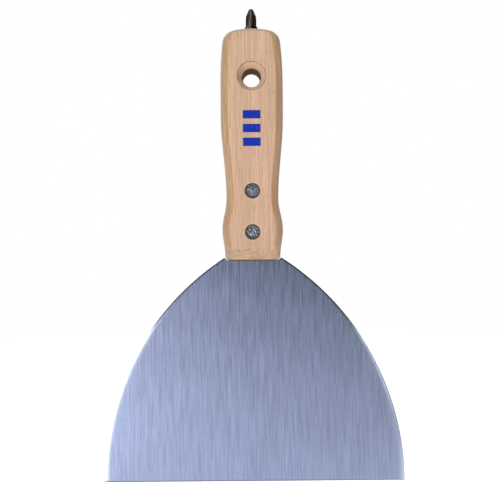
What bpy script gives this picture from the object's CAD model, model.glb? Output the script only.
"""The looks of a drywall taping knife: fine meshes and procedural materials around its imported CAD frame.

Meshes are drawn in millimetres, with X across the blade, -Y the front and heights counted up from the
working edge. place() turns each one into metres in the part's frame.
"""

import math

import bmesh
import bpy
import numpy as np
from mathutils import Matrix, Vector, geometry, noise

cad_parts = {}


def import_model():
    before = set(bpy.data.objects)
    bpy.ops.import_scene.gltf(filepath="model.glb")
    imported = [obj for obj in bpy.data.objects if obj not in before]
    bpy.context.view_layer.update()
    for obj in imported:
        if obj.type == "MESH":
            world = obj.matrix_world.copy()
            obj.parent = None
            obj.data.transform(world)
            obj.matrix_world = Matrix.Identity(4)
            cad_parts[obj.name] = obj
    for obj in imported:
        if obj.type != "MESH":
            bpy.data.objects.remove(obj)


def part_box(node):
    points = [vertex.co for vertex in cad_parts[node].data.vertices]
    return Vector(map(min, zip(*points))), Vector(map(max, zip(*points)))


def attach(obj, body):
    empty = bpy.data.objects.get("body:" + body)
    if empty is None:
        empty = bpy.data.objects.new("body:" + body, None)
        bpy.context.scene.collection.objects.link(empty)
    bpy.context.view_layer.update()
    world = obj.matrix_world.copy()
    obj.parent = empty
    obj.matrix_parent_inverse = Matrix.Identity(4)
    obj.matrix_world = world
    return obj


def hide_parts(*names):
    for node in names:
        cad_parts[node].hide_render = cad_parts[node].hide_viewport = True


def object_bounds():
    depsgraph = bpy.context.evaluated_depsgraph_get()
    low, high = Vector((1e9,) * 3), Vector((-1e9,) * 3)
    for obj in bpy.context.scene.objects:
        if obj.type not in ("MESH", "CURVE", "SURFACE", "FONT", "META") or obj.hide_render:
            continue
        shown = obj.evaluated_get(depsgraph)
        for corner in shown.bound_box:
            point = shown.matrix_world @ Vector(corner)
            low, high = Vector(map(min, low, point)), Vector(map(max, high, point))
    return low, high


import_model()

MM = 0.001
cad_low, cad_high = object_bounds()


def box_mm(node):
    """A CAD node's lowest and highest corner in millimetres, heights counted from the working edge."""
    low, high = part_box(node)
    edge = Vector((0, 0, cad_low.z))
    return (low - edge) / MM, (high - edge) / MM


# Places and sizes that the CAD frame gives.
BLADE_HIGH = box_mm("blade")[1]
HANDLE_LOW, HANDLE_HIGH = box_mm("handle")
SOCKET_LOW, SOCKET_HIGH = box_mm("bit_socket")
MAGNET_LOW, MAGNET_HIGH = box_mm("socket_magnet")
BIT_LOW, BIT_HIGH = box_mm("screwdriver_bit")
HOLE_Z = -cad_low.z / MM
NECK_Z = HANDLE_LOW.z
BUTT_Z = HANDLE_HIGH.z
FACE_Y = HANDLE_HIGH.y
RIVET_Z = {
    name: (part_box(f"{name}_rivet_stud")[0].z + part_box(f"{name}_rivet_stud")[1].z - 2 * cad_low.z) / 2 / MM
    for name in ("upper", "lower")
}

# The handle's outline: heights and half-widths, with half a cosine wave from each one to the next.
# A cubic curve then leads from the palm to the shoulder, and another from there to the crown.
NECK_CORNER = 2.5
OUTLINE_WAVES = [(NECK_Z + NECK_CORNER, 13.6), (125.5, 14.9), (140.5, 12.8), (182.0, HANDLE_HIGH.x)]
PALM_TOP = 196.0
SHOULDER = {"z": BUTT_Z - 6.5, "half_width": 14.25}
CROWN = {"half_width": 9.5, "drop": 0.9}
EDGE_ROUND, BUTT_ROUND, BUTT_ARRIS = 4.0, 1.8, 0.35
NECK_ROLL = {"height": 6.5, "depth": 3.0}
SLOT_HALF, SLOT_TOP = 0.55, 151.5
HOLE = {"radius": 4.4, "front_mouth": 6.95, "front_depth": 5.8, "back_mouth": 5.9, "back_depth": 1.5}
COUNTERBORE = {"radius": 3.7, "depth": 1.6, "shank": 2.4}
HANDLE_VOXEL = 0.25

# The blade's sides are arcs centred on the line of the working edge. A band along them is eased down
# to a thin rim, and narrows at the shoulders. The tang and the working edge are only just broken.
SIDE_RADIUS = 132.7
EAR_X, NOTCH, TANG_X, TANG_CORNER = 14.2, (12.6, 110.1), 11.0, 3.0
TAPER_TOP, EDGE_SHARE = 100.0, 0.6
EASED_WIDTH = {"heights": (0, 72, 92), "widths": (2.6, 2.6, 0.7)}
EASED_DROP, RIM_HALF = 0.24, 0.06
TANG_BREAK, WORKING_BREAK = 0.25, 0.45
BLADE_HOLE_RADIUS = 2.5

# Rivets sit in counterbores. "stud", "bore" and "sleeve" are the radii of the parts below the head.
RIVET = {"recess": 0.25, "head": 3.55, "thickness": 1.2, "stud": 1.5, "bore": 1.7, "sleeve": 2.2}
HEX_RADIUS = 6.35 / 2 / math.cos(math.radians(30))
BIT = {"neck": 2.65, "tip": 1.1, "cone": 3.6, "hex_above_butt": 2.75}
FLUTE = {"root": 0.75, "half_angle": 46, "lean": 5.5, "height": 8.6}
BIT_VOXEL = 0.07
SOCKET_GAP = 0.15


# ---- Mesh helpers --------------------------------------------------------------------------------


def new_object(name, vertices, faces):
    """A mesh object in the scene, not yet placed."""
    mesh = bpy.data.meshes.new(name)
    mesh.from_pydata([tuple(v) for v in vertices], [], [tuple(f) for f in faces])
    mesh.update()
    made = bpy.data.objects.new(name, mesh)
    bpy.context.scene.collection.objects.link(made)
    return made


def weld(made, distance=1e-4):
    """Merges the points that coincide, drops what collapses, and turns every face outwards."""
    work = bmesh.new()
    work.from_mesh(made.data)
    bmesh.ops.remove_doubles(work, verts=work.verts, dist=distance)
    bmesh.ops.dissolve_degenerate(work, edges=work.edges, dist=distance / 10)
    bmesh.ops.recalc_face_normals(work, faces=work.faces)
    work.to_mesh(made.data)
    work.free()
    return made


def settle(made):
    """Makes the object's modifiers part of its mesh."""
    bpy.context.view_layer.update()
    shown = made.evaluated_get(bpy.context.evaluated_depsgraph_get())
    mesh = bpy.data.meshes.new_from_object(shown)
    made.modifiers.clear()
    made.data = mesh
    return made


def loft(name, rings):
    """A closed body through rings that all have the same number of points."""
    count = len(rings[0])
    vertices = [point for ring in rings for point in ring]
    faces = [tuple(range(count))[::-1], tuple((len(rings) - 1) * count + i for i in range(count))]
    for row in range(len(rings) - 1):
        low, high = row * count, (row + 1) * count
        for i in range(count):
            after = (i + 1) % count
            faces.append((low + i, low + after, high + after, high + i))
    return weld(new_object(name, vertices, faces))


def revolve(name, profile, along, steps=96, relief=None):
    """A closed profile of (radius, place on the axis) turned about Y or Z through the origin.
    relief(x, across, place) gives a shift of each point along the axis."""
    vertices, faces = [], []
    for i in range(steps):
        angle = 2 * math.pi * i / steps
        for radius, place in profile:
            x, across = radius * math.cos(angle), radius * math.sin(angle)
            shift = relief(x, across, place) if relief else 0.0
            vertices.append((x, place + shift, across) if along == "Y" else (x, across, place + shift))
    count = len(profile)
    for i in range(steps):
        here, there = i * count, (i + 1) % steps * count
        faces += [(here + k, there + k, there + k + 1, here + k + 1) for k in range(count - 1)]
    return weld(new_object(name, vertices, faces))


def prism(name, radius, low, high, sides, top_radius=None):
    """An upright prism or cone. With 6 sides a corner faces the front."""
    top_radius = radius if top_radius is None else top_radius
    turn = -math.pi / 2
    rings = []
    for z, r in ((low, radius), (high, top_radius)):
        angles = [turn + 2 * math.pi * i / sides for i in range(sides)]
        rings.append([(r * math.cos(a), r * math.sin(a), z) for a in angles])
    return loft(name, rings)


def join_solids(made, other, operation):
    """Cuts, joins or intersects made with other, which is used up."""
    modifier = made.modifiers.new("join", "BOOLEAN")
    modifier.operation = operation
    modifier.solver = "EXACT"
    modifier.object = other
    settle(made)
    bpy.data.objects.remove(other)
    return made


def soften(made, voxel, passes):
    """Rebuilds the surface on a fine even grid, which rounds the sharp edges by about a voxel."""
    remesh = made.modifiers.new("remesh", "REMESH")
    remesh.mode = "VOXEL"
    remesh.voxel_size = voxel
    smooth = made.modifiers.new("smooth", "SMOOTH")
    smooth.factor = 0.5
    smooth.iterations = passes
    return settle(made)


def place(made, body, slot, material, *nodes):
    """Turns a mesh in millimetres into a finished piece that stands for some CAD nodes."""
    made.data.transform(Matrix.Translation((0, 0, cad_low.z)) @ Matrix.Scale(MM, 4))
    made.data.materials.clear()
    made.data.materials.append(material)
    for polygon in made.data.polygons:
        polygon.use_smooth = True
    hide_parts(*nodes)
    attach(made, body)
    return made


def sharpen(made, degrees):
    """Keeps the edges that turn by more than this sharp in the shading."""
    work = bmesh.new()
    work.from_mesh(made.data)
    limit = math.radians(degrees)
    for edge in work.edges:
        edge.smooth = len(edge.link_faces) == 2 and edge.calc_face_angle(0) < limit
    work.to_mesh(made.data)
    work.free()
    return made


def arc(centre, radius, start, end, steps):
    """Points of a circular arc between two angles in degrees."""
    angles = np.radians(np.linspace(start, end, steps + 1))
    return [(centre[0] + radius * math.cos(a), centre[1] + radius * math.sin(a)) for a in angles]


def bezier(a, b, c, d, steps):
    """Points of a cubic curve."""
    t = np.linspace(0, 1, steps + 1)[:, None]
    a, b, c, d = (np.array(p, float) for p in (a, b, c, d))
    points = (1 - t) ** 3 * a + 3 * (1 - t) ** 2 * t * b + 3 * (1 - t) * t**2 * c + t**3 * d
    return [tuple(p) for p in points]


# ---- Handle --------------------------------------------------------------------------------------


def handle_outline():
    """The right-hand side from the front, as (half-width, height), from the neck up to the crown."""
    centre = (OUTLINE_WAVES[0][1] - NECK_CORNER, NECK_Z + NECK_CORNER)
    points = arc(centre, NECK_CORNER, -90, 0, 12)
    for (z0, w0), (z1, w1) in zip(OUTLINE_WAVES, OUTLINE_WAVES[1:]):
        share = np.linspace(0, 1, 25)[1:]
        points += [(w0 + (w1 - w0) * (1 - math.cos(math.pi * s)) / 2, z0 + (z1 - z0) * s) for s in share]
    palm, shoulder = HANDLE_HIGH.x, (SHOULDER["half_width"], SHOULDER["z"])
    crown = (CROWN["half_width"], BUTT_Z - CROWN["drop"])
    points += bezier(
        (palm, PALM_TOP), (palm, PALM_TOP + 10), (shoulder[0] + 0.6, shoulder[1] - 6), shoulder, 24
    )
    points += bezier(
        shoulder, (shoulder[0] - 0.35, BUTT_Z - 3.3), (crown[0] + 2.6, crown[1] - 0.5), crown, 24
    )[1:]
    drops = np.linspace(CROWN["drop"], 0, 9)[1:]
    points += [(crown[0] * math.sqrt(drop / CROWN["drop"]), BUTT_Z - drop) for drop in drops]
    return points


def quarter_round(distance, length, depth, arris=0.0):
    """How far a face has come in at this distance from the end of a quarter-ellipse roll. The arris is
    the slope that the roll starts with."""
    share = 1 - min(distance / length, 1)
    return depth * (arris * share + (1 - arris) * (1 - math.sqrt(1 - share * share)))


def section(half_width, half_depth, z, steps=14):
    """A rounded rectangle across the handle at height z. Each corner is an arc of slightly less than a
    quarter turn, so it meets the faces at a faint arris."""
    reach = min(EDGE_ROUND, half_width, half_depth) * 0.995
    shift = 0.2 * reach
    radius = math.hypot(reach + shift, shift)
    start = math.degrees(math.atan2(shift, reach + shift))
    ring = []
    for corner in range(4):
        sign_x = 1 if corner in (0, 3) else -1
        sign_y = 1 if corner in (0, 1) else -1
        centre = (sign_x * (half_width - reach - shift), sign_y * (half_depth - reach - shift))
        turn = 90 * corner
        ring += [(x, y, z) for x, y in arc(centre, radius, turn + start, turn + 90 - start, steps)]
    return ring


def handle_body():
    """The uncut wood: rounded sections up the outline, rolled in at both ends."""
    outline = handle_outline()
    widths, heights = zip(*outline)
    ends = 1 - np.cos(np.linspace(0, math.pi / 2, 20))
    rows = np.concatenate(
        [
            NECK_Z + NECK_ROLL["height"] * ends,
            np.arange(NECK_Z + NECK_ROLL["height"] + 0.5, SHOULDER["z"], 0.8),
            (BUTT_Z - (BUTT_Z - SHOULDER["z"]) * ends**1.3)[::-1],
        ]
    )
    rings = []
    for z in rows:
        half_width = max(float(np.interp(z, heights, widths)), 0.4)
        roll = quarter_round(z - NECK_Z, NECK_ROLL["height"], NECK_ROLL["depth"])
        roll += quarter_round(BUTT_Z - z, BUTT_ROUND, BUTT_ROUND, arris=BUTT_ARRIS)
        rings.append(section(half_width, FACE_Y - roll, z))
    return loft("handle_body", rings)


def hanging_hole_waste():
    """A bore with a deep, steep cone at the front face and a shallow one at the back."""
    profile = [
        (0, -FACE_Y - 1),
        (HOLE["front_mouth"] + 0.1, -FACE_Y - 1),
        (HOLE["front_mouth"], -FACE_Y),
        (HOLE["radius"], HOLE["front_depth"] - FACE_Y),
        (HOLE["radius"], FACE_Y - HOLE["back_depth"]),
        (HOLE["back_mouth"], FACE_Y),
        (HOLE["back_mouth"] + 0.1, FACE_Y + 1),
        (0, FACE_Y + 1),
    ]
    waste = revolve("hanging_hole_waste", profile, "Y")
    waste.data.transform(Matrix.Translation((0, 0, HOLE_Z)))
    return waste


def rivet_hole_waste(z):
    """A shank hole with a flat-bottomed counterbore at each face."""
    floor = FACE_Y - COUNTERBORE["depth"]
    front = [
        (COUNTERBORE["shank"], floor),
        (COUNTERBORE["radius"], floor),
        (COUNTERBORE["radius"], FACE_Y + 1),
        (0, FACE_Y + 1),
    ]
    waste = revolve("rivet_hole_waste", [(r, -y) for r, y in reversed(front)] + front, "Y")
    waste.data.transform(Matrix.Translation((0, 0, z)))
    return waste


def saw_slot_waste():
    """The tang's slot, sawn right across from the neck end."""
    wide = 2 * HANDLE_HIGH.x
    corners = [(-wide, -SLOT_HALF), (wide, -SLOT_HALF), (wide, SLOT_HALF), (-wide, SLOT_HALF)]
    return loft("saw_slot_waste", [[(x, y, z) for x, y in corners] for z in (NECK_Z - 5, SLOT_TOP)])


def handle(material):
    """The handle, with its slot, hanging hole, rivet holes and socket hole cut."""
    body = handle_body()
    socket_radius = SOCKET_HIGH.x + 0.05
    wastes = [
        saw_slot_waste(),
        hanging_hole_waste(),
        *[rivet_hole_waste(z) for z in RIVET_Z.values()],
        prism("socket_waste", socket_radius, SOCKET_LOW.z - 0.15, BUTT_Z + 3, 96),
    ]
    for waste in wastes:
        join_solids(body, waste, "DIFFERENCE")
    soften(body, HANDLE_VOXEL, 5)
    body.name = "beech_handle"
    return place(body, "knife", "beech", material, "handle")


# ---- Blade ---------------------------------------------------------------------------------------


def half_thickness(z):
    """Half the blade's thickness: even at the neck, tapering to the working edge."""
    full = BLADE_HIGH.y
    edge = EDGE_SHARE * full
    return edge + (full - edge) * min(z / TAPER_TOP, 1.0)


def blade_outline():
    """The blade seen from the front, anticlockwise from the right end of the working edge, with the
    width of the eased band along the edge that follows each point."""
    centre_x = BLADE_HIGH.x - SIDE_RADIUS
    ear_angle = math.degrees(math.acos((EAR_X - centre_x) / SIDE_RADIUS))
    side = arc((centre_x, 0), SIDE_RADIUS, 0, ear_angle, 150)
    tang_top = arc((TANG_X - TANG_CORNER, BLADE_HIGH.z - TANG_CORNER), TANG_CORNER, 0, 90, 10)
    right = side + [NOTCH, (TANG_X, NOTCH[1] + 1)] + tang_top
    heights = [z for _, z in side[:-1]]
    bands = list(np.interp(heights, EASED_WIDTH["heights"], EASED_WIDTH["widths"]))
    bands += [TANG_BREAK] * (len(right) - len(side) + 1)
    points = right + [(-x, z) for x, z in reversed(right)]
    widths = bands + list(reversed(bands[:-1])) + [WORKING_BREAK]
    return np.array(points), np.array(widths)


def inset(points, widths):
    """An anticlockwise outline moved inwards, each edge by its own width."""
    step = np.roll(points, -1, 0) - points
    tangent = step / np.linalg.norm(step, axis=1)[:, None]
    inward = np.stack([-tangent[:, 1], tangent[:, 0]], 1)
    before, width_before = np.roll(inward, 1, 0), np.roll(widths, 1)
    turn = before[:, 0] * inward[:, 1] - before[:, 1] * inward[:, 0]
    gentle = np.abs(turn) < 0.1
    safe = np.where(gentle, 1, turn)
    mitre = np.stack(
        [
            (width_before * inward[:, 1] - widths * before[:, 1]) / safe,
            (widths * before[:, 0] - width_before * inward[:, 0]) / safe,
        ],
        1,
    )
    mean = (before + inward) / np.linalg.norm(before + inward, axis=1)[:, None]
    plain = mean * ((widths + width_before) / 2)[:, None]
    return points + np.where(gentle[:, None], plain, mitre)


def blade_rings(points, widths):
    """The outline's rings from its thin rim in to the flat face, as (x, z) points and drops below it."""
    scale = np.minimum(widths / EASED_WIDTH["widths"][0], 1)
    return [
        (inset(points, widths * share), EASED_DROP * (1 - share) ** 2 * scale)
        for share in np.linspace(0, 1, 9)
    ]


def flat_fill(loop, holes, pitch=5.0):
    """Triangles over the flat face inside the loop, round the holes. Returns points and triangles."""
    points = [tuple(p) for p in loop] + [p for hole in holes for p in hole]
    edges, start = [], 0
    for ring in [loop, *holes]:
        edges += [(start + i, start + (i + 1) % len(ring)) for i in range(len(ring))]
        start += len(ring)
    fixed = len(points)
    xs = np.arange(-BLADE_HIGH.x + pitch / 2, BLADE_HIGH.x, pitch)
    zs = np.arange(2.0, BLADE_HIGH.z, pitch)
    points += [(x, z) for z in zs for x in xs]
    result = geometry.delaunay_2d_cdt([Vector(p) for p in points], edges, [], 4, 1e-7)
    flat, triangles, origins = result[0], result[2], result[3]
    if any(len(origins[i]) != 1 or origins[i][0] != i for i in range(fixed)):
        raise ValueError("the outline's points moved in the fill")
    return [tuple(p) for p in flat], triangles


def blade(material):
    """The blade: two mirrored faces of rings and a flat fill, joined round the rim and in the holes."""
    outline, widths = blade_outline()
    rings = blade_rings(outline, widths)
    holes = [arc((0, z), BLADE_HOLE_RADIUS, 0, 360, 32)[:-1] for z in RIVET_Z.values()]
    flat, triangles = flat_fill(rings[-1][0], holes)
    count = len(outline)
    vertices, faces = [], []
    for side in (-1, 1):
        base = len(vertices)
        for points, drops in rings[:-1]:
            for (x, z), drop in zip(points, drops):
                vertices.append((x, side * max(half_thickness(z) - drop, RIM_HALF), z))
        inner = len(vertices)
        vertices += [(x, side * half_thickness(z), z) for x, z in flat]
        for row in range(len(rings) - 1):
            here = base + row * count
            there = here + count if row < len(rings) - 2 else inner
            for i in range(count):
                after = (i + 1) % count
                faces.append((here + i, here + after, there + after, there + i))
        faces += [tuple(inner + i for i in t) for t in triangles]
        if side == -1:
            front_base, front_inner = base, inner
    for i in range(count):
        after = (i + 1) % count
        faces.append((front_base + i, front_base + after, base + after, base + i))
    start = count
    for hole in holes:
        for i in range(len(hole)):
            a, b = start + i, start + (i + 1) % len(hole)
            faces.append((front_inner + a, front_inner + b, inner + b, inner + a))
        start += len(hole)
    made = weld(new_object("steel_blade", vertices, faces), 1e-6)
    return place(sharpen(made, 35), "knife", "blade_steel", material, "blade")


# ---- Rivets --------------------------------------------------------------------------------------


def hammered(seed):
    """Shallow overlapping hammer marks over a rivet's face, the same ones every time."""
    marked_radius, fade_width, face_band = RIVET["head"] - 0.15, 0.6, 0.5
    dent_depth, dents_per_mm = 0.26, 1.1
    grit_depth, grit_per_mm = 0.05, 3.1

    def relief(x, across, place):
        radius = math.hypot(x, across)
        if abs(place) < FACE_Y - RIVET["recess"] - face_band or radius > marked_radius:
            return 0.0
        fade = min(1.0, (marked_radius - radius) / fade_width)
        dents = noise.voronoi(Vector((x * dents_per_mm + seed, across * dents_per_mm, seed)))[0][0]
        grit = noise.noise(Vector((x * grit_per_mm, across * grit_per_mm, seed * 2.0)))
        return -math.copysign(fade * (dent_depth * dents + grit_depth * grit), place)

    return relief


def head_profile(side):
    """A rivet head from the middle of its face to the foot of its rim, as (radius, y)."""
    face, rim = FACE_Y - RIVET["recess"], RIVET["head"]
    dome, corner = 0.12, 0.35
    radii = np.linspace(0, rim - corner, 30)
    points = [(r, face - dome * (r / rim) ** 2) for r in radii]
    centre = (rim - corner, points[-1][1] - corner)
    points += arc(centre, corner, 90, 0, 6)[1:]
    points.append((rim, face - RIVET["thickness"]))
    return [(r, side * y) for r, y in points]


def rivet_stud(name, material):
    """The front half of a rivet: a head and a solid shank."""
    tip = box_mm(f"{name}_rivet_stud")[1].y
    profile = head_profile(-1) + [
        (RIVET["stud"], -(FACE_Y - RIVET["recess"] - RIVET["thickness"])),
        (RIVET["stud"], tip - 0.5),
        (RIVET["stud"] - 0.5, tip),
        (0, tip),
    ]
    made = revolve(f"{name}_rivet_front", profile, "Y", relief=hammered(RIVET_Z[name]))
    made.data.transform(Matrix.Translation((0, 0, RIVET_Z[name])))
    return place(sharpen(made, 40), "knife", "rivet_steel", material, f"{name}_rivet_stud")


def rivet_sleeve(name, material):
    """The back half of a rivet: a head and a tube that takes the stud's shank."""
    mouth = box_mm(f"{name}_rivet_sleeve")[0].y
    seat = FACE_Y - RIVET["recess"] - RIVET["thickness"]
    bore_end = box_mm(f"{name}_rivet_stud")[1].y + 0.3
    profile = head_profile(1) + [
        (RIVET["sleeve"], seat),
        (RIVET["sleeve"], mouth),
        (RIVET["bore"], mouth),
        (RIVET["bore"], bore_end),
        (0, bore_end),
    ]
    made = revolve(f"{name}_rivet_back", profile, "Y", relief=hammered(RIVET_Z[name] + 7))
    made.data.transform(Matrix.Translation((0, 0, RIVET_Z[name])))
    return place(sharpen(made, 40), "knife", "rivet_steel", material, f"{name}_rivet_sleeve")


# ---- Bit, socket and magnet ----------------------------------------------------------------------


def flute_waste(quarter):
    """A V-shaped bar on the diagonal between two wings, leaning in towards the tip."""
    reach = 4.0
    mouth = reach * math.tan(math.radians(FLUTE["half_angle"]))
    vee = [(0, 0), (reach, -mouth), (reach, mouth)]
    bar = loft("flute_waste", [[(x, y, z) for x, y in vee] for z in (-FLUTE["height"], 2.0)])
    lean = Matrix.Rotation(math.radians(-FLUTE["lean"]), 4, "Y")
    turn = Matrix.Rotation(math.radians(45 + 90 * quarter), 4, "Z")
    bar.data.transform(turn @ Matrix.Translation((FLUTE["root"], 0, BIT_HIGH.z)) @ lean)
    return bar


def screwdriver_bit(material):
    """The bit: a hexagon shank with turned-down ends, and a point with four flutes."""
    hex_top = BUTT_Z + BIT["hex_above_butt"]
    foot, tip, cone = BIT_LOW.z, BIT_HIGH.z, BIT_HIGH.z - BIT["cone"]
    shank = prism("bit", HEX_RADIUS, foot, hex_top, 6)
    envelope = [
        (0, foot),
        (HEX_RADIUS - 0.9, foot),
        (HEX_RADIUS + 0.1, foot + 1.0),
        (HEX_RADIUS + 0.1, hex_top - 0.6),
        (BIT["neck"] - 0.1, hex_top),
        (0, hex_top),
    ]
    join_solids(shank, revolve("bit_envelope", envelope, "Z"), "INTERSECT")
    point = revolve(
        "bit_point",
        [
            (0, hex_top - 1),
            (BIT["neck"], hex_top - 1),
            (BIT["neck"], cone - 1.5),
            (BIT["neck"] - 0.15, cone),
            (BIT["tip"], tip - 0.2),
            (BIT["tip"] - 0.3, tip),
            (0, tip),
        ],
        "Z",
    )
    for quarter in range(4):
        join_solids(point, flute_waste(quarter), "DIFFERENCE")
    join_solids(shank, point, "UNION")
    soften(shank, BIT_VOXEL, 3)
    shank.name = "cross_head_bit"
    return place(shank, "bit", "bit_steel", material, "screwdriver_bit")


def bit_socket(material):
    """A turned steel cup with a hexagon bore down to the magnet and a cone that leads the bit in."""
    bore_radius = HEX_RADIUS + SOCKET_GAP / math.cos(math.radians(30))
    foot, rim, radius = SOCKET_LOW.z, SOCKET_HIGH.z, SOCKET_HIGH.x
    foot_chamfer, rim_chamfer, flare = 0.4, 0.25, 0.6
    profile = [
        (0, foot),
        (radius - foot_chamfer, foot),
        (radius, foot + foot_chamfer),
        (radius, rim - rim_chamfer),
        (radius - rim_chamfer, rim),
        (0, rim),
    ]
    cup = revolve("steel_socket", profile, "Z")
    bore = prism("bore", bore_radius, MAGNET_LOW.z - SOCKET_GAP, rim + 1, 6)
    lead_in = prism("lead_in", bore_radius - flare, rim - 0.9, rim + 0.3, 96, bore_radius + flare)
    join_solids(cup, bore, "DIFFERENCE")
    join_solids(cup, lead_in, "DIFFERENCE")
    return place(sharpen(cup, 25), "knife", "socket_steel", material, "bit_socket")


def socket_magnet(material):
    """The disc magnet on the socket's floor."""
    radius, low, high = MAGNET_HIGH.x, MAGNET_LOW.z, MAGNET_HIGH.z
    edge = 0.2
    profile = [(0, low), (radius - edge, low), (radius, low + edge)]
    profile += [(radius, high - edge), (radius - edge, high), (0, high)]
    disc = revolve("disc_magnet", profile, "Z")
    return place(sharpen(disc, 25), "knife", "magnet_nickel", material, "socket_magnet")


# ---- Material helpers ----------------------------------------------------------------------------


class Nodes:
    """A node tree under construction."""

    def __init__(self, tree):
        self.tree = tree

    def add(self, kind, inputs=None, **settings):
        made = self.tree.nodes.new(kind)
        for key, value in settings.items():
            setattr(made, key, value)
        for key, value in (inputs or {}).items():
            self.feed(made.inputs[key], value)
        return made

    def feed(self, socket, value):
        if isinstance(value, bpy.types.NodeSocket):
            self.tree.links.new(value, socket)
        else:
            socket.default_value = value

    def math(self, operation, a, b=0.0):
        return self.add("ShaderNodeMath", {0: a, 1: b}, operation=operation).outputs[0]

    def product(self, first, *others):
        for other in others:
            first = self.math("MULTIPLY", first, other)
        return first

    def total(self, first, *others):
        for other in others:
            first = self.math("ADD", first, other)
        return first

    def vector(self, operation, a, b=(0, 0, 0), scale=1.0):
        made = self.add("ShaderNodeVectorMath", {0: a, 1: b}, operation=operation)
        if operation == "SCALE":
            made.inputs["Scale"].default_value = scale
        return made.outputs["Value" if operation in ("LENGTH", "DISTANCE") else "Vector"]

    def split(self, vector):
        """The X, Y and Z of a vector."""
        return self.add("ShaderNodeSeparateXYZ", {0: vector}).outputs

    def ramp(self, value, low, high, to_low=0.0, to_high=1.0):
        """value eased from low..high to to_low..to_high."""
        inputs = {"Value": value, "From Min": low, "From Max": high, "To Min": to_low, "To Max": to_high}
        made = self.add("ShaderNodeMapRange", inputs, interpolation_type="SMOOTHSTEP")
        return made.outputs["Result"]

    def window(self, value, rise, fall, height=1.0):
        """0, then up to 1 over the span rise, and from height back to 0 over the span fall."""
        return self.product(self.ramp(value, *rise), self.ramp(value, *fall, height, 0.0))


class Shader(Nodes):
    """A node material under construction, with coordinates in millimetres from the hanging hole."""

    def __init__(self, name):
        self.material = bpy.data.materials.new(name)
        self.material.use_nodes = True
        super().__init__(self.material.node_tree)
        self.surface = self.tree.nodes["Principled BSDF"]
        place = self.add("ShaderNodeTexCoord").outputs["Object"]
        self.place = self.vector("SCALE", place, scale=1 / MM)

    def noise(self, stretch, detail=2.0, roughness=0.5, distortion=0.0):
        """Noise with this many features a millimetre along X, Y and Z, so a small factor draws it out."""
        inputs = {
            "Vector": self.vector("MULTIPLY", self.place, stretch),
            "Scale": 1.0,
            "Detail": detail,
            "Roughness": roughness,
            "Distortion": distortion,
        }
        return self.add("ShaderNodeTexNoise", inputs).outputs["Fac"]

    def mix(self, share, a, b):
        """The colour a with a share of the colour b over it. Plain colours are (red, green, blue)."""
        made = self.add("ShaderNodeMix", data_type="RGBA")
        colours = [s for s in made.inputs if s.type == "RGBA"]
        self.feed(made.inputs["Factor"], share)
        for socket, colour in zip(colours, (a, b)):
            self.feed(socket, (*colour, 1) if isinstance(colour, tuple) else colour)
        return [s for s in made.outputs if s.type == "RGBA"][0]

    def bump(self, height, strength, distance_mm):
        inputs = {"Height": height, "Strength": strength, "Distance": distance_mm * MM}
        return self.add("ShaderNodeBump", inputs).outputs["Normal"]

    def from_rivet(self, name):
        """Millimetres from a rivet's axis."""
        flat = self.vector("MULTIPLY", self.place, (1, 0, 1))
        return self.vector("DISTANCE", flat, (0, 0, RIVET_Z[name] - HOLE_Z))

    def finish(self, **sockets):
        for key, value in sockets.items():
            self.feed(self.surface.inputs[key.replace("_", " ")], value)
        return self.material


# ---- Wood ----------------------------------------------------------------------------------------


def growth_rings(s):
    """The share of late wood: saw-toothed rings round a pith well out in front of the handle."""
    from_pith = (9, 46, 0)
    inputs = {
        "Vector": s.vector("ADD", s.vector("MULTIPLY", s.place, (1, 1, 0.02)), from_pith),
        "Scale": 0.115,
        "Distortion": 2.2,
        "Detail": 2,
        "Detail Scale": 0.35,
    }
    settings = {"wave_type": "RINGS", "rings_direction": "Z", "wave_profile": "SAW"}
    rings = s.add("ShaderNodeTexWave", inputs, **settings).outputs["Fac"]
    return s.ramp(rings, 0.6, 1.0, 0.0, 0.24)


def beech_grain(s, fibres):
    """Clear beech: a slow change of tone, rings, dark fibres, pale and brown veins, and patches."""
    tone = s.noise((0.16, 0.16, 0.012), detail=3)
    pale = s.noise((1.2, 1.2, 0.06), detail=3)
    vein = s.noise((0.8, 0.8, 0.03), detail=3, roughness=0.6)
    patch = s.noise((0.22, 0.22, 0.07), detail=2)
    colour = s.mix(s.ramp(tone, 0.35, 0.65), (0.81, 0.52, 0.36), (0.72, 0.495, 0.33))
    colour = s.mix(growth_rings(s), colour, (0.5, 0.3, 0.175))
    colour = s.mix(s.ramp(fibres, 0.38, 0.58, 0.42, 0.0), colour, (0.47, 0.285, 0.165))
    colour = s.mix(s.ramp(pale, 0.5, 0.66, 0.0, 0.32), colour, (0.84, 0.6, 0.44))
    colour = s.mix(s.ramp(vein, 0.5, 0.66, 0.0, 0.26), colour, (0.56, 0.335, 0.19))
    return s.mix(s.ramp(patch, 0.42, 0.65, 0.0, 0.12), colour, (0.64, 0.43, 0.26))


def flecks_and_pores(s):
    """The share of the dark ray flecks and of the fainter, finer pores."""
    flecks = s.ramp(s.noise((1.9, 1.9, 0.4), detail=1), 0.665, 0.73, 0.0, 0.36)
    pores = s.ramp(s.noise((3.6, 3.6, 0.75), detail=1), 0.64, 0.74, 0.0, 0.2)
    return s.math("MAXIMUM", flecks, pores)


def wood_round_rivets(s, colour):
    """Pale crushed wood in a thin ring round each rivet head."""
    for name in RIVET_Z:
        ring = s.ramp(s.from_rivet(name), RIVET["head"] + 0.3, RIVET["head"] + 1.1, 0.5, 0.0)
        colour = s.mix(ring, colour, (0.95, 0.8, 0.68))
    return colour


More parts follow.
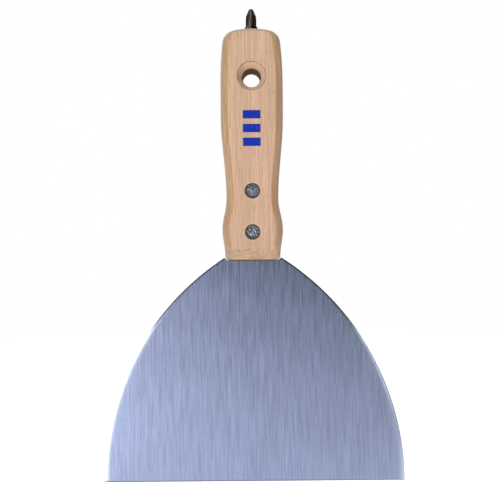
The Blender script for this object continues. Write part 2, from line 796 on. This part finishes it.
def wood_at_hole(s, colour, from_axis, in_bore, y):
    """A pale cut cone, a scorched bore and a dark, broken burr round the cone's mouth."""
    mouth = HOLE["front_mouth"]
    colour = s.mix(s.ramp(from_axis, mouth - 0.3, mouth, 0.5, 0.0), colour, (0.9, 0.66, 0.48))
    colour = s.mix(in_bore, colour, (0.11, 0.055, 0.02))
    from_rim = s.math("ABSOLUTE", s.math("SUBTRACT", from_axis, mouth))
    burr = s.ramp(from_rim, 0.05, 0.4, 1.0, 0.0)
    chipped = s.ramp(s.noise((0.45, 0.45, 0.45), detail=2), 0.38, 0.6, 0.3, 0.8)
    in_front = s.math("LESS_THAN", y, 1.0 - FACE_Y)
    return s.mix(s.product(burr, in_front, chipped), colour, (0.22, 0.11, 0.05))


def wood_at_edges(s, colour, fibres, outside, z):
    """Roundovers tanned by sanding and handling, greyer sides, and a butt of cut fibre ends."""
    _, facing_y, facing_z = s.split(s.add("ShaderNodeTexCoord").outputs["Normal"])
    flatness = s.math("ABSOLUTE", facing_y)
    rounded = s.ramp(flatness, 0.965, 0.992, 1.0, 0.0)
    above_neck = s.ramp(z, NECK_Z - HOLE_Z + 5.5, NECK_Z - HOLE_Z + 8.5, 0.35, 1.0)
    rubbed = s.ramp(s.noise((0.9, 0.9, 0.05), detail=4, roughness=0.6), 0.35, 0.62, 0.4, 0.9)
    colour = s.mix(s.product(rounded, rubbed, outside, above_neck), colour, (0.48, 0.275, 0.125))
    side_on = s.product(s.ramp(flatness, 0.35, 0.85, 0.6, 0.0), s.ramp(flatness, 0.05, 0.4, 0.25, 1.0))
    colour = s.mix(s.product(side_on, outside), colour, (0.5, 0.42, 0.33))
    butt_end = s.ramp(facing_z, 0.2, 0.5, 0.0, 0.8)
    cut_fibres = s.mix(s.ramp(fibres, 0.38, 0.6), (0.46, 0.37, 0.26), (0.66, 0.57, 0.45))
    return s.mix(s.product(butt_end, outside), colour, cut_fibres)


def wood_at_neck(s, colour, z):
    """The rolled neck end: knotty end grain, a faint torn line where the roll starts, a dark rim."""
    neck = NECK_Z - HOLE_Z
    roll_top = neck + NECK_ROLL["height"]
    end_grain = s.noise((0.3, 0.3, 1.5), detail=4, roughness=0.65, distortion=0.8)
    below_arris = s.ramp(z, roll_top - 2.5, roll_top, 1.0, 0.0)
    scorch = s.product(s.ramp(end_grain, 0.44, 0.6, 0.0, 0.6), below_arris)
    colour = s.mix(scorch, colour, (0.42, 0.265, 0.15))
    wander = s.product(s.math("SUBTRACT", s.noise((0.35, 0.35, 0.35), detail=3), 0.5), 5.0)
    from_arris = s.math("ABSOLUTE", s.math("SUBTRACT", s.total(z, wander), roll_top - 1.2))
    torn = s.product(s.ramp(from_arris, 0.0, 1.1, 1.0, 0.0), s.ramp(end_grain, 0.47, 0.6, 0.0, 0.5))
    colour = s.mix(torn, colour, (0.36, 0.2, 0.1))
    return s.mix(s.ramp(z, neck + 0.3, neck + 1.1, 0.9, 0.0), colour, (0.07, 0.035, 0.02))


def printed_bars(s, x, y, z):
    """The share of ink at a point: three plain bars across the front face, a little worn."""
    length, width, pitch, top, centre_x, blur = 8.8, 4.2, 6.7, -16.8, -0.1, 0.12
    from_centre = s.math("ABSOLUTE", s.math("SUBTRACT", x, centre_x))
    across = s.ramp(from_centre, length / 2 - blur, length / 2, 1, 0)
    bars = []
    for i in range(3):
        from_middle = s.math("ABSOLUTE", s.math("SUBTRACT", z, top - width / 2 - i * pitch))
        bars.append(s.ramp(from_middle, width / 2 - blur, width / 2, 1, 0))
    in_front = s.math("LESS_THAN", y, 2.5 - FACE_Y)
    worn = s.ramp(s.noise((3.2, 3.2, 0.3), detail=4), 0.28, 0.42, 0.7, 1.0)
    return s.product(s.total(*bars), across, in_front, worn)


def beech():
    """Sanded, thinly lacquered beech with three plain printed bars on the front."""
    s = Shader("beech")
    x, y, z = s.split(s.place)
    fibres = s.noise((2.0, 2.0, 0.06), detail=4, roughness=0.7)
    fleck = flecks_and_pores(s)
    from_axis = s.vector("LENGTH", s.vector("MULTIPLY", s.place, (1, 0, 1)))
    in_bore = s.ramp(from_axis, HOLE["radius"] + 0.15, HOLE["radius"] + 0.55, 0.92, 0.0)
    outside = s.ramp(from_axis, HOLE["front_mouth"] + 0.2, HOLE["front_mouth"] + 0.6)

    colour = s.mix(fleck, beech_grain(s, fibres), (0.3, 0.15, 0.075))
    colour = wood_round_rivets(s, colour)
    colour = wood_at_hole(s, colour, from_axis, in_bore, y)
    colour = wood_at_edges(s, colour, fibres, outside, z)
    colour = wood_at_neck(s, colour, z)
    colour = s.mix(printed_bars(s, x, y, z), colour, (0.0, 0.028, 0.42))

    grit = s.noise((5, 5, 0.25), detail=3)
    raised = s.total(s.product(fibres, 0.7), s.product(grit, 0.3))
    height = s.math("SUBTRACT", raised, s.product(fleck, 0.6))
    return s.finish(
        Base_Color=colour,
        Roughness=s.total(s.ramp(grit, 0.2, 0.8, 0.46, 0.64), s.product(in_bore, 0.4)),
        Normal=s.bump(height, 0.35, 0.06),
        Specular_IOR_Level=0.4,
    )


# ---- Metals and floor ----------------------------------------------------------------------------


def blade_edges(s, colour):
    """Pale ground bands low on the sides, dark sheared edges higher up, and a worn working edge.
    Returns the colour and the share of ground steel."""
    x, _, z = s.split(s.place)
    height = s.total(z, HOLE_Z)
    out = s.total(s.math("ABSOLUTE", x), SIDE_RADIUS - BLADE_HIGH.x)
    reach = s.math("SQRT", s.total(s.product(out, out), s.product(height, height)))
    from_side = s.math("SUBTRACT", SIDE_RADIUS, reach)
    ground = s.product(s.ramp(from_side, 0.8, 4.6, 0.8, 0.0), s.ramp(height, 70, 92, 1.0, 0.0))
    sheared = s.product(s.ramp(from_side, 0.45, 0.9, 0.95, 0.0), s.ramp(height, 70, 82))
    worn = s.ramp(height, 0.3, 0.8, 0.75, 0.0)
    colour = s.mix(ground, colour, (0.78, 0.85, 1.0))
    colour = s.mix(sheared, colour, (0.09, 0.095, 0.14))
    return s.mix(worn, colour, (0.2, 0.19, 0.27)), ground


def brushed_blade():
    """Stainless sheet brushed along its length: hair-fine scratches, short streaks and faint clouds."""
    s = Shader("brushed_blade")
    hair = s.noise((3.2, 3.2, 0.05), detail=1)
    streak = s.noise((2.1, 2.1, 0.06), detail=0)
    cloud = s.noise((0.07, 0.07, 0.05), detail=5, roughness=0.65)
    value = s.total(s.product(hair, 0.5), s.product(streak, 0.5))
    colour = s.mix(s.ramp(value, 0.34, 0.66), (0.46, 0.515, 0.72), (0.57, 0.63, 0.85))
    colour = s.mix(s.ramp(cloud, 0.35, 0.65, 0.12, 0.0), colour, (0.36, 0.39, 0.51))
    colour, ground = blade_edges(s, colour)
    roughness = s.ramp(s.total(value, s.product(cloud, 0.2)), 0.4, 0.8, 0.25, 0.31)
    return s.finish(
        Base_Color=colour,
        Roughness=s.math("SUBTRACT", roughness, s.product(ground, 0.13)),
        Metallic=1.0,
        Normal=s.bump(value, 0.08, 0.02),
        Anisotropic=0.7,
        Tangent=s.add("ShaderNodeCombineXYZ", {0: 1.0}).outputs[0],
    )


def rivet_steel():
    """Dull hammered steel, darker and browner towards the rim, with bright worn high spots."""
    s = Shader("rivet_steel")
    speck = s.noise((1.5, 1.5, 1.5), detail=4, roughness=0.7)
    rust = s.noise((0.9, 0.9, 0.9), detail=3)
    colour = s.mix(s.ramp(speck, 0.42, 0.6), (0.22, 0.24, 0.26), (0.85, 0.88, 0.92))
    colour = s.mix(s.ramp(rust, 0.55, 0.7, 0.0, 0.35), colour, (0.16, 0.11, 0.09))
    for name in RIVET_Z:
        radius = s.from_rivet(name)
        near = s.math("LESS_THAN", radius, 2 * RIVET["head"])
        rim = s.ramp(radius, RIVET["head"] * 0.45, RIVET["head"] * 0.95, 0.0, 0.85)
        colour = s.mix(s.product(rim, near), colour, (0.23, 0.185, 0.16))
    return s.finish(
        Base_Color=colour,
        Roughness=s.ramp(speck, 0.3, 0.7, 0.55, 0.32),
        Metallic=1.0,
        Normal=s.bump(speck, 0.5, 0.05),
    )


def gunmetal():
    """Phosphated tool steel: almost black, brownish, with polished wear and fine grit. It is darkest
    in the flutes and on the point's two flanks."""
    s = Shader("gunmetal")
    grit = s.noise((6, 6, 2.5), detail=4, roughness=0.65)
    patch = s.noise((0.7, 0.7, 0.4), detail=3)
    colour = s.mix(s.ramp(grit, 0.35, 0.65), (0.22, 0.185, 0.155), (0.52, 0.44, 0.38))
    colour = s.mix(s.ramp(patch, 0.5, 0.7, 0.0, 0.5), colour, (0.62, 0.54, 0.47))
    x, _, z = s.split(s.place)
    radius = s.vector("LENGTH", s.vector("MULTIPLY", s.place, (1, 1, 0)))
    tip = BIT_HIGH.z - HOLE_Z
    wing = s.ramp(z, tip - BIT["cone"], tip, BIT["neck"], BIT["tip"])
    sunk = s.ramp(s.math("SUBTRACT", wing, radius), 0.4, 1.0, 0.0, 0.6)
    colour = s.mix(sunk, colour, (0.05, 0.035, 0.025))
    flank = s.ramp(s.math("ABSOLUTE", x), 1.3, 2.1, 0.0, 0.9)
    on_point = s.math("GREATER_THAN", z, tip - 8.7)
    colour = s.mix(s.product(flank, on_point), colour, (0.02, 0.018, 0.014))
    return s.finish(
        Base_Color=colour,
        Roughness=s.ramp(grit, 0.3, 0.7, 0.36, 0.5),
        Metallic=1.0,
        Normal=s.bump(grit, 0.3, 0.02),
        Specular_Tint=(0.12, 0.11, 0.1, 1),
    )


def turned_steel():
    """Turned steel with fine rings round the upright axis."""
    s = Shader("turned_steel")
    ring = s.noise((0.3, 0.3, 9), detail=4)
    cloud = s.noise((0.8, 0.8, 0.8), detail=3)
    value = s.total(s.product(ring, 0.6), s.product(cloud, 0.4))
    return s.finish(
        Base_Color=s.mix(s.ramp(value, 0.35, 0.65), (0.26, 0.26, 0.27), (0.46, 0.46, 0.47)),
        Roughness=s.ramp(value, 0.3, 0.7, 0.28, 0.45),
        Metallic=1.0,
        Normal=s.bump(ring, 0.3, 0.02),
    )


def nickel():
    """Nickel plate on a sintered magnet, slightly orange-peeled and scuffed."""
    s = Shader("nickel")
    peel = s.noise((3, 3, 3), detail=3)
    scuff = s.noise((1.2, 7, 1.2), detail=4)
    return s.finish(
        Base_Color=s.mix(s.ramp(scuff, 0.4, 0.7), (0.66, 0.64, 0.6), (0.5, 0.49, 0.46)),
        Roughness=s.ramp(scuff, 0.3, 0.7, 0.16, 0.34),
        Metallic=1.0,
        Normal=s.bump(peel, 0.2, 0.02),
    )


def pale_floor():
    """Pale studio card: matt, a little self-lit so that it stays close to white, with a faint tooth."""
    s = Shader("pale_floor")
    tooth = s.noise((0.8, 0.8, 0.8), detail=3)
    return s.finish(
        Base_Color=s.mix(tooth, (0.93, 0.93, 0.93), (0.96, 0.96, 0.955)),
        Roughness=0.9,
        Normal=s.bump(tooth, 0.05, 0.1),
        Emission_Color=(1, 1, 1, 1),
        Emission_Strength=0.7,
    )


# ---- Studio --------------------------------------------------------------------------------------

# The camera looks square on from close by, a little above the middle. FRAME_WIDTH is what it takes in
# at the object's plane.
FRAME_WIDTH = 0.2498
LENS, SENSOR = 50.0, 36.0
CAMERA_X, CAMERA_HEIGHT, CAMERA_ROLL = -0.0014, 0.1154, 0.45
FLOOR_GAP, FLOOR_RADII, FLOOR_SIDES = 0.06, (0.0001, 0.3, 1.2), 96
AIM_HEIGHT = 0.12

# Area lights: where each stands, its width and depth, its power, and whether steel reflects it.
LIGHTS = {
    "key": ((-0.14, -0.85, 0.75), (0.45, 0.45), 4.7, False),
    "sparkle": ((-0.2, -0.7, 0.85), (0.25, 0.25), 1.2, True),
    "top": ((0.0, 0.1, 0.9), (0.9, 0.7), 2, False),
    "back": ((0.3, 0.9, 0.5), (0.6, 0.6), 4, False),
}


def camera():
    data = bpy.data.cameras.new("camera")
    data.lens = LENS
    data.sensor_width = SENSOR
    made = bpy.data.objects.new("camera", data)
    made.location = (CAMERA_X, -FRAME_WIDTH * LENS / SENSOR, cad_low.z + CAMERA_HEIGHT)
    made.rotation_euler = (math.radians(90), math.radians(CAMERA_ROLL), 0)
    bpy.context.scene.collection.objects.link(made)
    bpy.context.scene.camera = made


def area_light(name, place, size, watts, glossy):
    data = bpy.data.lights.new(name, "AREA")
    data.shape = "RECTANGLE"
    data.size, data.size_y = size
    data.energy = watts
    made = bpy.data.objects.new(name, data)
    made.location = place
    target = Vector((0, 0, cad_low.z + AIM_HEIGHT))
    made.rotation_euler = (target - Vector(place)).to_track_quat("-Z", "Y").to_euler()
    made.visible_camera = False
    made.visible_glossy = glossy
    bpy.context.scene.collection.objects.link(made)


def floor():
    """A round card below the hanging knife."""
    rings = [arc((0, 0), radius, 0, 360, FLOOR_SIDES)[:-1] for radius in FLOOR_RADII]
    top = cad_low.z - FLOOR_GAP
    vertices = [(x, y, top) for ring in rings for x, y in ring]
    faces = []
    for row in range(len(rings) - 1):
        inner, outer = row * FLOOR_SIDES, (row + 1) * FLOOR_SIDES
        for i in range(FLOOR_SIDES):
            after = (i + 1) % FLOOR_SIDES
            faces.append((inner + i, inner + after, outer + after, outer + i))
    made = weld(new_object("studio_floor", vertices, faces), 1e-5)
    made.data.materials.append(pale_floor())
    made.visible_glossy = False


def studio_level(s, direction):
    """How bright the studio is in a direction, as the steel reflects it: a front that gets brighter
    downwards and to the left, an even back, a strong panel low on the left, a weak one low on the
    right, and a small glint that only the right shoulder's eased edge catches."""
    x, y, z = s.split(direction)
    lean = s.total(s.product(x, -0.85), s.product(z, -2.0))
    front = s.total(0.08, s.math("MINIMUM", s.math("MAXIMUM", lean, -0.15), 0.6))
    behind = s.ramp(y, -0.2, 0.3)
    grey = s.total(s.product(front, s.math("SUBTRACT", 1, behind)), s.product(behind, 0.35))
    left = s.product(s.window(x, (-0.68, -0.58), (-0.42, -0.3)), s.ramp(z, -0.42, -0.35))
    right = s.product(
        s.ramp(x, 0.08, 0.22),
        s.ramp(x, 0.3, 0.44, 0.18, 1.0),
        s.ramp(x, 0.6, 0.7, 0.25, 0.0),
    )
    below = s.ramp(s.total(z, s.product(x, 0.45)), -0.1, 0.15, 1.0, 0.0)
    panels = s.product(s.total(left, right), below, 2.4)
    glint = s.product(
        s.window(x, (0.28, 0.34), (0.44, 0.52)),
        s.window(z, (-0.22, -0.1), (0.16, 0.26), height=0.95),
    )
    return s.total(grey, panels, glint)


def world():
    """White to the camera, and a grey studio with pale panels to everything else."""
    made = bpy.data.worlds.new("studio")
    made.use_nodes = True
    bpy.context.scene.world = made
    s = Nodes(made.node_tree)
    s.tree.nodes.clear()
    level = studio_level(s, s.add("ShaderNodeTexCoord").outputs["Generated"])
    grey = s.add("ShaderNodeBackground", {"Color": (0.94, 0.98, 1.08, 1), "Strength": level})
    white = s.add("ShaderNodeBackground", {"Color": (1, 1, 1, 1), "Strength": 1.0})
    seen = s.add("ShaderNodeLightPath").outputs["Is Camera Ray"]
    mixed = s.add("ShaderNodeMixShader", {0: seen, 1: grey.outputs[0], 2: white.outputs[0]})
    s.add("ShaderNodeOutputWorld", {"Surface": mixed.outputs[0]})


def studio():
    bpy.context.scene.view_settings.view_transform = "Standard"
    camera()
    world()
    floor()
    for name, (place, size, watts, glossy) in LIGHTS.items():
        area_light(name, place, size, watts, glossy)


# ---- Assembly ------------------------------------------------------------------------------------

studio()
handle(beech())
blade(brushed_blade())
rivets = rivet_steel()
for name in RIVET_Z:
    rivet_stud(name, rivets)
    rivet_sleeve(name, rivets)
bit_socket(turned_steel())
socket_magnet(nickel())
screwdriver_bit(gunmetal())
